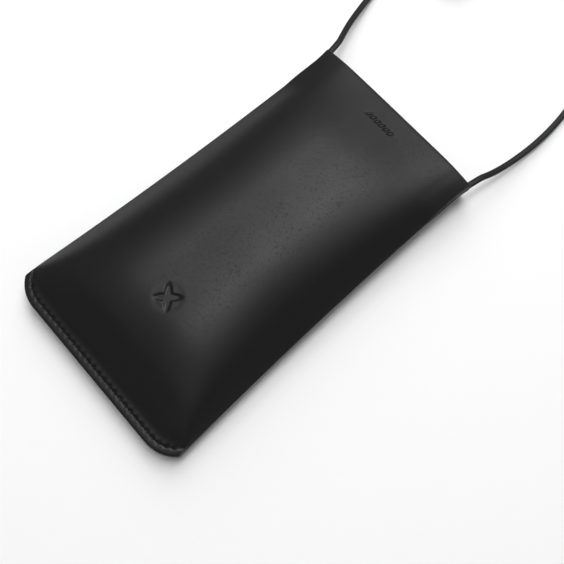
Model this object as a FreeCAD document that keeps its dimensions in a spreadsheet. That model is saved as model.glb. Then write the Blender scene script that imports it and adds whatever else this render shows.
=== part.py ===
import FreeCAD, Part
import math
import os
import Sketcher

# Leather sleeve for a telephone with a thin lace shoulder strap, lying on its back. Millimetres.
# +Y runs from the stitched bottom seam to the open mouth, +Z is up, the origin is under the middle.

doc = FreeCAD.newDocument("leather_sleeve")
sheet = doc.addObject("Spreadsheet::Sheet", "Sizes")

SIZES = [
    ("overall_length", 202.0),      # cut edge of the bottom seam to the lip of the mouth
    ("seam_width", 118.2),          # corner to corner of the bottom seam
    ("mouth_width", 104.6),         # fold to fold at the mouth
    ("flare_power", 2.1),           # how soon the sides spread towards the bottom
    ("lip_flare", 1.0),             # how far each corner of the mouth turns out
    ("lip_flare_run", 12.0),        # length over which it does so
    ("leather", 1.8),               # thickness of both panels
    ("fold_height", 6.8),           # seam plane above the table at the bottom corners
    ("mouth_lift", 3.6),            # how much higher the seam plane is at the mouth
    ("hem_depth", 7.5),             # bottom edge beyond the line between its corners
    ("hem_round", 20.6),            # radius of the two rounded ends of the bottom edge
    ("allowance", 6.5),             # turned-in edge inside each side seam
    ("shoulder_soft", 5.0),         # roundness of the shoulders
    ("full_rise", 10.0),            # wall height from which the shoulders are fully round
    ("flat_share", 0.28),           # flat share of the front's half width, before it slopes down
    ("flank_power", 2.0),           # how soon the flanks slope down beside the flat
    ("fold_power", 8.0),            # how soon the outline leaves the fold
    ("back_run", 7.0),              # how far in from the fold the back meets the table
    ("base_start", 34.0),           # distance from the corners at which the back lies flat
    ("stitch_pitch", 4.0),
    ("stitch_inset", 4.0),          # bottom stitches to the cut edge
    ("stitch_gap", 0.5),            # between two neighbouring stitches in one hole
    ("thread_width", 0.8),
    ("thread_rise", 0.4),           # thread above the leather
    ("thread_reach", "=leather * 0.8"),
    ("side_row_inset", 3.0),        # side stitches in from the fold
    ("side_row_margin", 8.0),       # side rows end this far from seam and mouth
    ("lace_width", 3.2),
    ("lace_thickness", 2.2),
    ("lace_clearance", 0.05),
    ("lace_hold", 22.0),            # length of lace caught in each side seam
    ("lace_inset", 1.9),            # middle of the lace in from the fold where it comes out
    ("lace_splay", 2.4),            # how much further in its hidden end lies
    ("lace_lead", 6.0),             # straight stretch of lace past the lip
    ("bed_over", 13.2),             # length of the cut for the lace past its held stretch
    ("bend_share", 0.45),           # share of a straight run that the bend at its end takes up
    ("coil_x", -58.5),
    ("coil_y", 203.0),
    ("coil_radius", 18.8),          # middle of the bundle of turns
    ("coil_turns_wide", 2.0),
    ("coil_turns_high", 4.0),
    ("turn_gap", 0.15),             # between neighbouring turns
    ("tail_offset", 2.0),           # where the runs meet the coil, past its middle
    ("tie_thickness", 0.9),
    ("tie_width", 7.0),
    ("tie_angle", -50.0),           # its place round the coil, in degrees from +X
    ("cut_over", 0.5),              # how far cutting shapes reach past what they cut
    ("table_depth", 20.0),
]
for row, (alias, value) in enumerate(SIZES, start=1):
    sheet.set(f"A{row}", alias)
    sheet.set(f"B{row}", str(value))
    sheet.setAlias(f"B{row}", alias)

# Front profile along the body: distance from the corners as a share of the way to the mouth,
# how far in the side wall leans, how high it stands, and how much the middle crowns over it.
STATIONS = [
    ("corner", 0.0, 0.5, 1.8, 0.05),
    ("heel", 0.045, 4.4, 4.9, 1.0),
    ("instep", 0.11, 8.0, 8.4, 3.0),
    ("rise", 0.21, 10.6, 10.6, 5.0),
    ("belly", 0.37, 11.4, 10.8, 5.8),
    ("middle", 0.57, 11.0, 10.4, 5.6),
    ("throat", 0.78, 10.8, 8.8, 3.8),
    ("neck", 0.92, 11.2, 6.3, 1.6),
    ("mouth", 1.0, 11.8, 5.1, 0.4),
]
first_row = len(SIZES) + 2
for row, (name, *values) in enumerate(STATIONS, start=first_row):
    sheet.set(f"A{row}", name)
    for column, what, value in zip("BCDE", ("share", "run", "rise", "crown"), values):
        sheet.set(f"{column}{row}", str(value))
        sheet.setAlias(f"{column}{row}", f"{what}_{name}")
doc.recompute()


def size(alias):
    return float(sheet.get(alias))


leather = size("leather")
hem_depth = size("hem_depth")
lip_y = size("overall_length") / 2
corner_y = hem_depth - lip_y
body_length = lip_y - corner_y
seam_half = size("seam_width") / 2
mouth_half = size("mouth_width") / 2


def half_width(y):
    """Fold line of the sides: straight near the mouth, flaring to the bottom corners and at the lip."""
    towards_seam = min(1.0, max(0.0, (lip_y - y) / body_length))
    turned_out = size("lip_flare") * max(0.0, 1 - (lip_y - y) / size("lip_flare_run")) ** 2
    return mouth_half + turned_out + (seam_half - mouth_half) * towards_seam ** size("flare_power")


def fold_z(y):
    """Height of the plane in which front and back meet."""
    return size("fold_height") + size("mouth_lift") * max(0.0, y - corner_y) / body_length


fold_slope = math.atan2(size("mouth_lift"), body_length)


# Places across a section, as shares of its half width, at which its outline is worked out.
ACROSS = [1.0, 0.975, 0.945, 0.905, 0.86, 0.81, 0.74, 0.65, 0.55, 0.45, 0.34, 0.17, 0.0]


def profile_points(half, run, rise, crown, base_z, up):
    """Section outline: leaning walls, soft shoulders, and flanks that slope up to a flat middle."""
    blend = size("shoulder_soft") * min(1.0, rise / size("full_rise"))
    flat = size("flat_share")

    def height(x):
        flank = max(0.0, (x / (half - run) - flat) / (1 - flat)) ** size("flank_power")
        top = rise + crown * (1 - flank)
        wall = rise * (half - x) / run
        return (top + wall - math.sqrt((top - wall) ** 2 + blend ** 2)) / 2

    at_fold = height(half)
    right = [(half * s, height(half * s) - at_fold * s ** size("fold_power")) for s in ACROSS]
    left = [(-x, z) for x, z in reversed(right[:-1])]
    return [(x, base_z + up * z) for x, z in right + left]


def section_wire(points, y):
    """A closed section at y: one smooth curve and the straight line under it."""
    corners = [FreeCAD.Vector(x, y, z) for x, z in points]
    curve = Part.BSplineCurve()
    curve.interpolate(corners)
    return Part.Wire([curve.toShape(), Part.makeLine(corners[-1], corners[0])])


def loft(name, wires):
    """A Part::Loft through its own section objects."""
    sections = []
    for number, wire in enumerate(wires):
        section = doc.addObject("Part::Feature", f"{name}_section_{number}")
        section.Shape = wire
        sections.append(section)
    body = doc.addObject("Part::Loft", name)
    body.Sections = sections
    body.Solid = True
    body.Ruled = False
    return body


def inner(run, rise):
    """Wall lean, wall height and fold inset of the hollow inside a wall of one leather thickness."""
    slant = math.hypot(run, rise)
    hollow_rise = rise - 2 * leather
    inset = (run * leather + leather * slant) / rise
    return run * hollow_rise / rise, hollow_rise, inset


stations = [(corner_y + body_length * size(f"share_{n}"), n) for n, *_ in STATIONS]


def front_shape(name):
    return size(f"run_{name}"), size(f"rise_{name}"), size(f"crown_{name}")


def back_depth(y):
    """How far the back panel hangs below the seam plane before it meets the table."""
    along = min(1.0, (y - corner_y) / size("base_start"))
    return leather + (fold_z(y) - leather) * (1 - (1 - along) ** 2)


def back_shape(y):
    depth = back_depth(y)
    return max(0.5, size("back_run") * (depth - leather) / depth), depth, 0.0


def hollow_wires(shape_of, up):
    """Sections of the hollow above (up = 1) or below (up = -1) the turned-in edges."""
    wires = []
    for y, name in stations[1:]:
        run, rise, crown = shape_of(y, name)
        lean, height, inset = inner(run, rise)
        base_z = fold_z(y) + up * leather
        points = profile_points(half_width(y) - inset, lean, height, crown, base_z, up)
        wires.append(section_wire(points, y))
    return wires


def slot_wires(up):
    """Sections of the gap between the turned-in edges of the two sides."""
    wires = []
    for y, name in stations[1:]:
        half = half_width(y) - size("allowance")
        low, high = fold_z(y) - up * size("cut_over"), fold_z(y) + up * (leather + size("cut_over"))
        corners = [(half, low), (half, high), (-half, high), (-half, low), (half, low)]
        wires.append(Part.makePolygon([FreeCAD.Vector(x, y, z) for x, z in corners]))
    return wires


# Flat hem at the bottom: a straight edge with rounded ends, one layer per panel.
hem_sketch = doc.addObject("Sketcher::SketchObject", "hem_outline")
hem_round = size("hem_round")
end_drop = hem_round - hem_depth
straight_half = seam_half - math.sqrt(hem_round ** 2 - end_drop ** 2)
edge_y = -lip_y
arc_end = math.atan2(-end_drop, seam_half - straight_half)
V = FreeCAD.Vector


def hem_arc(side, first, last):
    """Rounded end of the hem's edge between two angles."""
    centre = V(side * straight_half, edge_y + hem_round, 0)
    return Part.ArcOfCircle(Part.Circle(centre, V(0, 0, 1), hem_round), first, last)


hem_sketch.addGeometry(
    [
        Part.LineSegment(V(-straight_half, edge_y, 0), V(straight_half, edge_y, 0)),
        hem_arc(1, -math.pi / 2, arc_end),
        Part.LineSegment(V(seam_half, corner_y, 0), V(-seam_half, corner_y, 0)),
        hem_arc(-1, math.pi - arc_end, 3 * math.pi / 2),
    ],
    False,
)
START, END, ROOT = 1, 2, -1
JOINED = [("Tangent", 0, 1), ("Coincident", 1, 2), ("Coincident", 2, 3), ("Tangent", 3, 0)]
for kind, a, b in JOINED:
    hem_sketch.addConstraint(Sketcher.Constraint(kind, a, END, b, START))
hem_sketch.addConstraint(Sketcher.Constraint("Horizontal", 0))
hem_sketch.addConstraint(Sketcher.Constraint("Equal", 1, 3))
BOUND = [
    ("DistanceY", (0, START, ROOT, 1), lip_y, "Sizes.overall_length / 2"),
    ("Radius", (1,), hem_round, "Sizes.hem_round"),
    ("DistanceX", (ROOT, 1, 2, START), seam_half, "Sizes.seam_width / 2"),
    ("DistanceX", (2, END, ROOT, 1), seam_half, "Sizes.seam_width / 2"),
    ("DistanceY", (2, START, ROOT, 1), -corner_y, "Sizes.overall_length / 2 - Sizes.hem_depth"),
    ("DistanceY", (2, END, ROOT, 1), -corner_y, "Sizes.overall_length / 2 - Sizes.hem_depth"),
]
for kind, where, value, expression in BOUND:
    index = hem_sketch.addConstraint(Sketcher.Constraint(kind, *where, value))
    hem_sketch.setExpression(f"Constraints[{index}]", expression)


def hem(name, up):
    """One leather layer of the hem, above or below the seam plane."""
    layer = doc.addObject("Part::Extrusion", name)
    layer.Base = hem_sketch
    layer.DirMode = "Custom"
    layer.Dir = V(0, 0, up)
    layer.Solid = True
    layer.setExpression("LengthFwd", "Sizes.leather")
    layer.setExpression("Placement.Base.z", "Sizes.fold_height")
    return layer


def panel(label, shape_of, up, cutters):
    """A panel: its outer body and hem, less the hollow, the gap between the edges and the lace beds."""
    outlines = [(profile_points(half_width(y), *shape_of(y, n), fold_z(y), up), y) for y, n in stations]
    outer = loft(f"{label}_outer", [section_wire(points, y) for points, y in outlines])
    whole = doc.addObject("Part::MultiFuse", f"{label}_with_hem")
    whole.Shapes = [outer, hem(f"{label}_hem", up)]
    waste = doc.addObject("Part::MultiFuse", f"{label}_waste")
    hollow = loft(f"{label}_hollow", hollow_wires(shape_of, up))
    slot = loft(f"{label}_slot", slot_wires(up))
    slot.Ruled = True
    waste.Shapes = [hollow, slot] + cutters
    cut = doc.addObject("Part::Cut", label)
    cut.Label = label
    cut.Base = whole
    cut.Tool = waste
    return cut


# Where each lace lies in its side seam: a straight stretch in the seam plane, ending at the lip.
lace_half = size("lace_width") / 2
hold = size("lace_hold")


def lace_in_seam(side):
    """Hidden end, lip point and straight lead out of the lace's middle line, side = -1 left, 1 right."""
    out_x = half_width(lip_y) - size("lace_inset")
    hidden_y = lip_y - hold
    hidden = V(side * (out_x - size("lace_splay")), hidden_y, fold_z(hidden_y))
    lip = V(side * out_x, lip_y, fold_z(lip_y))
    return hidden, lip, lip + (lip - hidden).normalize() * size("lace_lead")


def lace_bed(side):
    """The pressed-in bed that the lace's held end fills, a little longer than the stretch it holds."""
    hidden, lip, _ = lace_in_seam(side)
    clear = size("lace_clearance")
    along = (lip - hidden).normalize()
    bed = doc.addObject("Part::Box", "lace_bed_left" if side < 0 else "lace_bed_right")
    bed.setExpression("Width", "Sizes.lace_hold + Sizes.bed_over")
    bed.setExpression("Length", "Sizes.lace_width + 2 * Sizes.lace_clearance")
    bed.setExpression("Height", "Sizes.lace_thickness + 2 * Sizes.lace_clearance")
    across = along.cross(V(0, 0, 1)).normalize()
    turn = FreeCAD.Rotation(across, along, across.cross(along), "XYZ")
    corner = hidden - along * clear - across * (lace_half + clear)
    corner = corner - across.cross(along) * (size("lace_thickness") / 2 + clear)
    bed.Placement = FreeCAD.Placement(corner, turn)
    return bed


beds = [lace_bed(-1), lace_bed(1)]
front_panel = panel("front_panel", lambda y, name: front_shape(name), 1, beds)

table = doc.addObject("Part::Box", "table")
table.setExpression("Length", "2 * Sizes.seam_width")
table.setExpression("Width", "2 * Sizes.overall_length")
table.setExpression("Height", "Sizes.table_depth")
table.Placement.Base = V(-size("seam_width"), -size("overall_length"), -size("table_depth"))
back_panel = panel("back_panel", lambda y, name: back_shape(y), -1, beds + [table])


# Threads: each stitch is a staple whose bar lies on the leather and whose legs go down to the seam plane.
def staple(length, reach):
    """A stitch along X from the origin, its bar above z = 0 and its legs down to -reach."""
    rise, foot = size("thread_rise"), size("thread_width")
    outline = [(0, rise), (length, rise), (length, -reach), (length - foot, -reach)]
    outline += [(length - foot, 0), (foot, 0), (foot, -reach), (0, -reach)]
    corners = [V(x, -foot / 2, z) for x, z in outline]
    return Part.Face(Part.makePolygon(corners + corners[:1])).extrude(V(0, foot, 0))


def stitch_row(label, holes, slope):
    """A seam's thread: a stitch on the front and one on the back between each two holes."""
    stitches = []
    gap = size("stitch_gap")
    reach = size("thread_reach")
    for start, end in zip(holes, holes[1:]):
        run = end - start
        heading = math.degrees(math.atan2(run.y, run.x))
        for up in (1, -1):
            stitch = staple(math.hypot(run.x, run.y) - gap, reach)
            if up < 0:
                stitch.rotate(V(0, 0, 0), V(1, 0, 0), 180)
            stitch.rotate(V(0, 0, 0), V(0, 1, 0), -math.degrees(slope))
            stitch.rotate(V(0, 0, 0), V(0, 0, 1), heading)
            stitch.translate(start + run * (gap / 2 / run.Length) + V(0, 0, up * leather))
            stitches.append(stitch)
    row = doc.addObject("Part::Feature", label)
    row.Label = label
    row.Shape = Part.makeCompound(stitches)
    return row


def bottom_holes():
    """Holes along the hem, an even pitch from corner to corner, following its rounded ends."""
    inset, pitch = size("stitch_inset"), size("stitch_pitch")
    bend = hem_round - inset
    reach = straight_half + bend * (math.pi / 2 + arc_end) - size("thread_width")
    steps = int(reach / pitch)
    holes = []
    for number in range(-steps, steps + 1):
        along = abs(number) * pitch
        side = -1 if number < 0 else 1
        if along <= straight_half:
            x, y = along, edge_y + inset
        else:
            turn = (along - straight_half) / bend
            x, y = straight_half + bend * math.sin(turn), edge_y + hem_round - bend * math.cos(turn)
        holes.append(V(side * x, y, size("fold_height")))
    return holes


def side_holes(side):
    """Holes up one side seam, an even pitch, a steady inset from the fold."""
    first, last = corner_y + size("side_row_margin"), lip_y - size("side_row_margin")
    steps = int((last - first) / size("stitch_pitch"))
    holes = []
    for number in range(steps + 1):
        y = first + number * size("stitch_pitch")
        holes.append(V(side * (half_width(y) - size("side_row_inset")), y, fold_z(y)))
    return holes


bottom_thread = stitch_row("bottom_seam_thread", bottom_holes(), 0.0)
left_thread = stitch_row("left_side_thread", side_holes(-1), fold_slope)
right_thread = stitch_row("right_side_thread", side_holes(1), fold_slope)

# The strap: one flat lace. It leaves the left corner of the mouth, is wound into a coil, and
# comes back to the right corner. Points are the route of its middle line.
coil_centre = V(size("coil_x"), size("coil_y"), 0)
coil_base = size("tie_thickness")
turn_wide = size("lace_width") + size("turn_gap")
turn_high = size("lace_thickness") + size("turn_gap")
coil_half_wide = size("coil_turns_wide") * turn_wide / 2
coil_high = size("coil_turns_high") * turn_high
outer_turn = size("coil_radius") + coil_half_wide - turn_wide / 2
LEFT_ROUTE = [
    (-56.5, 115.8, 8.0),
    (-60.6, 125.3, 6.0),
    (-64.1, 136.0, 4.1),
    (-67.4, 147.0, 2.6),
    (-71.0, 159.5, 1.6),
    (-74.2, 172.5, 1.2),
    (-77.0, 186.0, 1.5),
]
RIGHT_ROUTE = [
    (54.0, 115.3, 7.4),
    (55.4, 125.3, 5.2),
    (56.2, 136.5, 3.5),
    (56.5, 148.0, 2.5),
    (55.8, 161.5, 1.7),
    (53.6, 177.0, 1.2),
    (48.5, 194.5, 1.15),
    (39.2, 212.0, 1.15),
    (25.5, 226.3, 1.15),
    (8.0, 235.3, 1.2),
    (-11.0, 237.5, 2.2),
    (-29.0, 233.8, 4.6),
    (-45.0, 227.2, 7.4),
]


def rounded_path(points):
    """Straight runs joined by arcs, each as large as its two runs allow; prints the radii."""
    edges, radii = [], []
    here = points[0]
    for before, corner, after in zip(points, points[1:], points[2:]):
        into, out = corner - before, after - corner
        half_turn = into.getAngle(out) / 2
        cut = size("bend_share") * min(into.Length, out.Length)
        radii.append(cut / math.tan(half_turn))
        start, end = corner - into.normalize() * cut, corner + out.normalize() * cut
        inward = (start + end) * 0.5 - corner
        sagitta = radii[-1] * (1 / math.cos(half_turn) - 1)
        middle = corner + inward.normalize() * sagitta
        edges += [Part.LineSegment(here, start).toShape(), Part.Arc(start, middle, end).toShape()]
        here = end
    edges.append(Part.LineSegment(here, points[-1]).toShape())
    print("radii", [round(r, 1) for r in radii], "least", round(min(radii), 1))
    return Part.Wire(edges)


def lace(label, points):
    """The flat lace swept along its route, its broad side up."""
    path = rounded_path(points)
    start, along = points[0], (points[1] - points[0]).normalize()
    across = along.cross(V(0, 0, 1)).normalize()
    upward = across.cross(along)
    high = size("lace_thickness") / 2
    around = [(1, 1), (-1, 1), (-1, -1), (1, -1), (1, 1)]
    corners = [start + across * (lace_half * a) + upward * (high * b) for a, b in around]
    pipe = Part.BRepOffsetAPI.MakePipeShell(path)
    pipe.setBiNormalMode(V(0, 0, 1))
    pipe.add(Part.makePolygon(corners))
    pipe.build()
    pipe.makeSolid()
    run = doc.addObject("Part::Feature", label)
    run.Label = label
    run.Shape = pipe.shape()
    expected = size("lace_width") * size("lace_thickness") * path.Length
    print(label, "length", round(path.Length, 1), "volume share", round(run.Shape.Volume / expected, 3))
    return run


left_hidden, _, left_lead = lace_in_seam(-1)
right_hidden, _, right_lead = lace_in_seam(1)
tail = size("tail_offset")
left_end = coil_centre + V(-outer_turn, -tail, coil_base + turn_high / 2)
right_end = coil_centre + V(tail, outer_turn, coil_base + coil_high - turn_high / 2)
left_run = lace("strap_left_run", [left_hidden, left_lead, *[V(*p) for p in LEFT_ROUTE], left_end])
right_run = lace("strap_right_run", [right_hidden, right_lead, *[V(*p) for p in RIGHT_ROUTE], right_end])

BUNDLE_WIDE = "Sizes.coil_turns_wide * (Sizes.lace_width + Sizes.turn_gap)"
BUNDLE_HIGH = "Sizes.coil_turns_high * (Sizes.lace_thickness + Sizes.turn_gap)"
coil_outside = doc.addObject("Part::Cylinder", "coil_outside")
coil_outside.setExpression("Radius", f"Sizes.coil_radius + {BUNDLE_WIDE} / 2")
coil_inside = doc.addObject("Part::Cylinder", "coil_inside")
coil_inside.setExpression("Radius", f"Sizes.coil_radius - {BUNDLE_WIDE} / 2")
for cylinder in (coil_outside, coil_inside):
    cylinder.setExpression("Height", BUNDLE_HIGH)
    cylinder.Placement.Base = coil_centre + V(0, 0, coil_base)
strap_coil = doc.addObject("Part::Cut", "strap_coil")
strap_coil.Label = "strap_coil"
strap_coil.Base = coil_outside
strap_coil.Tool = coil_inside

# The tie: a flat band round the bundle of turns, on the side of the coil that faces the sleeve.
tie_outside = doc.addObject("Part::Box", "tie_outside")
tie_outside.setExpression("Length", f"{BUNDLE_WIDE} + 2 * Sizes.tie_thickness")
tie_outside.setExpression("Width", "Sizes.tie_width")
tie_outside.setExpression("Height", f"{BUNDLE_HIGH} + 2 * Sizes.tie_thickness")
tie_turn = FreeCAD.Rotation(V(0, 0, 1), size("tie_angle"))
tie_corner = V(size("coil_radius") - coil_half_wide - size("tie_thickness"), -size("tie_width") / 2, 0)
tie_outside.Placement = FreeCAD.Placement(coil_centre + tie_turn.multVec(tie_corner), tie_turn)
strap_tie = doc.addObject("Part::Cut", "strap_tie")
strap_tie.Label = "strap_tie"
strap_tie.Base = tie_outside
strap_tie.Tool = strap_coil

doc.recompute()

nodes = [
    front_panel, back_panel, bottom_thread, left_thread, right_thread,
    left_run, right_run, strap_coil, strap_tie,
]
for thing in doc.Objects:
    if "Invalid" in thing.State or "Error" in thing.State:
        raise RuntimeError(f"{thing.Name} failed: {thing.State}")
for node in nodes:
    if node.Shape.isNull() or not node.Shape.isValid():
        raise RuntimeError(f"{node.Label} has no valid shape")

os.makedirs("parts", exist_ok=True)
for node in nodes:
    node.Shape.exportStep(f"parts/{node.Label}.step")
    box = node.Shape.BoundBox
    print(
        node.Label, len(node.Shape.Solids), "solids", round(node.Shape.Volume / 1000, 2), "cm3",
        [round(v, 2) for v in (box.XMin, box.XMax, box.YMin, box.YMax, box.ZMin, box.ZMax)],
    )
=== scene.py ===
import math

import bpy
from mathutils import Matrix, Vector


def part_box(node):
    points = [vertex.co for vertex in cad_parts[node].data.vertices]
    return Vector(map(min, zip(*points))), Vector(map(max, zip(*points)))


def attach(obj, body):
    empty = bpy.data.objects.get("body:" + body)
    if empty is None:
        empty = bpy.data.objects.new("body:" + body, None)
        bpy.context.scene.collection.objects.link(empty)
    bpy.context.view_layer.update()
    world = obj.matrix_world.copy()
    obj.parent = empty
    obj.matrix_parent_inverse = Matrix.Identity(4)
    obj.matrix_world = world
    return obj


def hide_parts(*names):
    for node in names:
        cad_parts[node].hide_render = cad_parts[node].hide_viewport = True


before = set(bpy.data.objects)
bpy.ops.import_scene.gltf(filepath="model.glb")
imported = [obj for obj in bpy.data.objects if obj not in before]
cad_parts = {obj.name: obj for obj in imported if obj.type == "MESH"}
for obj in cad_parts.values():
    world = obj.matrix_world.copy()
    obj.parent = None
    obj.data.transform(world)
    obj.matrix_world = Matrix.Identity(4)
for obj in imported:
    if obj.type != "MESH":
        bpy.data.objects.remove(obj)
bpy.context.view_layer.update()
print("frame loaded:", ", ".join(sorted(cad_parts)))


def smooth(share):
    # eases from 0 to 1 while share goes from 0 to 1
    share = min(1.0, max(0.0, share))
    return share * share * (3 - 2 * share)


def mix(first, second, share):
    return first + (second - first) * share


def clearSelection():
    bpy.ops.object.select_all(action="DESELECT")


def makeActive(piece):
    clearSelection()
    piece.select_set(True)
    bpy.context.view_layer.objects.active = piece


def nameIt(name):
    # names the object an operator has just made, and its mesh with it
    piece = bpy.context.active_object
    piece.name = name
    piece.data.name = name
    return piece


def turnOutward():
    # makes all normals of the active piece point outward
    bpy.ops.object.mode_set(mode="EDIT")
    bpy.ops.mesh.select_all(action="SELECT")
    bpy.ops.mesh.normals_make_consistent(inside=False)
    bpy.ops.object.mode_set(mode="OBJECT")


# camera
cameraView = {
    "lens": 55.86,
    "azimuth": 48.51,
    "elevation": 71.35,
    "distance": 0.4347,
    "lookAt": (0.0252, -0.0006, 0.0),
}


def addCamera():
    turn = math.radians(cameraView["azimuth"])
    lift = math.radians(cameraView["elevation"])
    flat = math.cos(lift)
    back = Vector((math.sin(turn) * flat, -math.cos(turn) * flat, math.sin(lift)))
    place = Vector(cameraView["lookAt"]) + back * cameraView["distance"]
    facing = (-back).to_track_quat("-Z", "Y").to_euler()
    clearSelection()
    bpy.ops.object.camera_add(location=place, rotation=facing)
    camera = bpy.context.active_object
    camera.data.lens = cameraView["lens"]
    camera.data.clip_start = 0.01
    bpy.context.scene.camera = camera


addCamera()
print("camera placed")

# strap: one flat lace from corner to corner of the mouth, the spare length in a tied coil
strap = {
    "width": 0.0032,
    "thickness": 0.0022,
    "squareness": 3.4,       # 2 is an oval section, more is squarer
    "ringPoints": 14,
    "pitch": 0.00335,        # from one turn of the coil to the next beside it
    "layers": 4,
    "turns": 7.25,
    "pointsPerTurn": 16,
    "moveOver": 0.22,        # share of a turn in which the lace moves to the next place
    "wander": 0.00016,       # unevenness of the turns
    "exit": (-0.0514, 0.101, 0.0104),
    "length": 1.22,
}
leftStart = [(-0.0490, 0.079, 0.00999), (-0.05205, 0.10696, 0.01051)]
leftRoute = [
    (-0.0565, 0.1158, 0.0080),
    (-0.0606, 0.1253, 0.0060),
    (-0.0641, 0.1360, 0.0041),
    (-0.0674, 0.1470, 0.0026),
    (-0.0710, 0.1595, 0.0016),
    (-0.0742, 0.1725, 0.0012),
    (-0.0770, 0.1860, 0.0015),
]
rightStart = [(0.0490, 0.079, 0.00999), (0.05205, 0.10696, 0.01051)]
rightRoute = [
    (0.0540, 0.1153, 0.0074),
    (0.0554, 0.1253, 0.0052),
    (0.0562, 0.1365, 0.0035),
    (0.0565, 0.1480, 0.0025),
    (0.0558, 0.1615, 0.0017),
    (0.0536, 0.1770, 0.0012),
    (0.0485, 0.1945, 0.00115),
    (0.0392, 0.2120, 0.00115),
    (0.0255, 0.2263, 0.00115),
    (0.0080, 0.2353, 0.0012),
    (-0.0110, 0.2375, 0.0022),
    (-0.0290, 0.2338, 0.0046),
    (-0.0450, 0.2272, 0.0074),
]
coilPlaces = [(0, 0), (1, 0), (1, 1), (0, 1), (0, 2), (1, 2), (1, 3), (0, 3)]   # column, layer


def coilPoints():
    low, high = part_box("strap_coil")
    middle = (low + high) / 2
    layer = (high.z - low.z) / strap["layers"]
    outer = (high.x - low.x - strap["pitch"]) / 2
    perTurn = strap["pointsPerTurn"]
    # the spline cuts inside its points, so they stand a little further out
    reach = 1 / (0.75 + 0.25 * math.cos(2 * math.pi / perTurn))
    points = []
    for step in range(int(strap["turns"] * perTurn) + 1):
        turn, part = divmod(step / perTurn, 1)
        here = coilPlaces[int(turn)]
        after = coilPlaces[min(int(turn) + 1, len(coilPlaces) - 1)]
        moved = smooth((part - 1 + strap["moveOver"]) / strap["moveOver"])
        angle = math.pi - 2 * math.pi * part
        loose = strap["wander"] * math.sin(3 * angle + 2.3 * turn)
        radius = (outer - strap["pitch"] * mix(here[0], after[0], moved) + loose) * reach
        height = low.z + layer * (0.5 + mix(here[1], after[1], moved))
        across, along = radius * math.cos(angle), radius * math.sin(angle)
        points.append((middle.x + across, middle.y + along, height))
    return points


def strapLine():
    # the smooth line of the lace's middle, read from its NURBS spline
    route = leftStart + leftRoute + coilPoints() + rightRoute[::-1] + rightStart[::-1]
    curve = bpy.data.curves.new("strapLine", "CURVE")
    curve.dimensions = "3D"
    spline = curve.splines.new("NURBS")
    spline.points.add(len(route) - 1)
    for point, place in zip(spline.points, route):
        point.co = (*place, 1)
    spline.order_u = 3
    spline.use_endpoint_u = True
    curve.resolution_u = 7
    carrier = bpy.data.objects.new("strapLine", curve)
    bpy.context.scene.collection.objects.link(carrier)
    line = bpy.data.meshes.new_from_object(carrier)
    places = [vertex.co.copy() for vertex in line.vertices]
    bpy.data.objects.remove(carrier)
    return places


def laceSection():
    # corners of the lace's rounded section, each as a share across and up
    shape = []
    for step in range(strap["ringPoints"]):
        angle = 2 * math.pi * (step + 0.5) / strap["ringPoints"]
        ways = (math.cos(angle), math.sin(angle))
        power = 2 / strap["squareness"]
        shape.append(tuple(math.copysign(abs(way) ** power, way) for way in ways))
    return shape


def modelStrap(line):
    section = laceSection()
    around = len(section)
    vertices, alongs = [], []
    along = 0.0
    for number, place in enumerate(line):
        before, after = line[max(number - 1, 0)], line[min(number + 1, len(line) - 1)]
        heading = (after - before).normalized()
        across = heading.cross(Vector((0, 0, 1))).normalized()
        up = across.cross(heading)
        along += (place - before).length
        for side, rise in section:
            offset = across * (side * strap["width"] / 2) + up * (rise * strap["thickness"] / 2)
            vertices.append(place + offset)
            alongs.append(along)
    faces = [tuple(range(around))[::-1]]
    for ring in range(len(line) - 1):
        for corner in range(around):
            a = ring * around + corner
            b = ring * around + (corner + 1) % around
            faces.append((a, b, b + around, a + around))
    faces.append(tuple(range(len(vertices) - around, len(vertices))))
    mesh = bpy.data.meshes.new("strapLace")
    mesh.from_pydata(vertices, [], faces)
    layer = mesh.uv_layers.new(name="lace")
    for face in mesh.polygons:
        for loop in face.loop_indices:
            vertex = mesh.loops[loop].vertex_index
            corner = vertex % around
            if corner == 0 and face.index % around == 0:
                corner = around                     # the last strip of faces closes the ring
            layer.data[loop].uv = (alongs[vertex], corner / around)
    lace = bpy.data.objects.new("strapLace", mesh)
    bpy.context.scene.collection.objects.link(lace)
    makeActive(lace)
    turnOutward()
    bpy.ops.object.shade_smooth_by_angle(angle=math.radians(60))
    return lace


lacePath = strapLine()
strapLace = modelStrap(lacePath)
print("strap modelled:", len(lacePath), "points on its line")

# tie: a leather band round the bundle of turns, its end lapped over its start on top
tie = {
    "thickness": 0.0009,
    "width": 0.007,
    "angle": -50.0,          # where on the coil it sits, in degrees from +X
    "corner": 0.0016,        # how round it goes over the bundle's corners
    "lap": 0.0058,           # length of the lapped end
    "lapRise": 0.0022,       # length over which it rises onto the layer below
    "lapLift": 1.02,         # its height on that layer, in thicknesses
    "start": -0.02,          # share of the loop by which the band starts before the top middle
    "tipStart": 0.55,        # share of the lapped end that keeps its full width
    "tipLeast": 0.06,
    "bevel": 0.00022,
    "rows": 120,
    "columns": 7,
}


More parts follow.
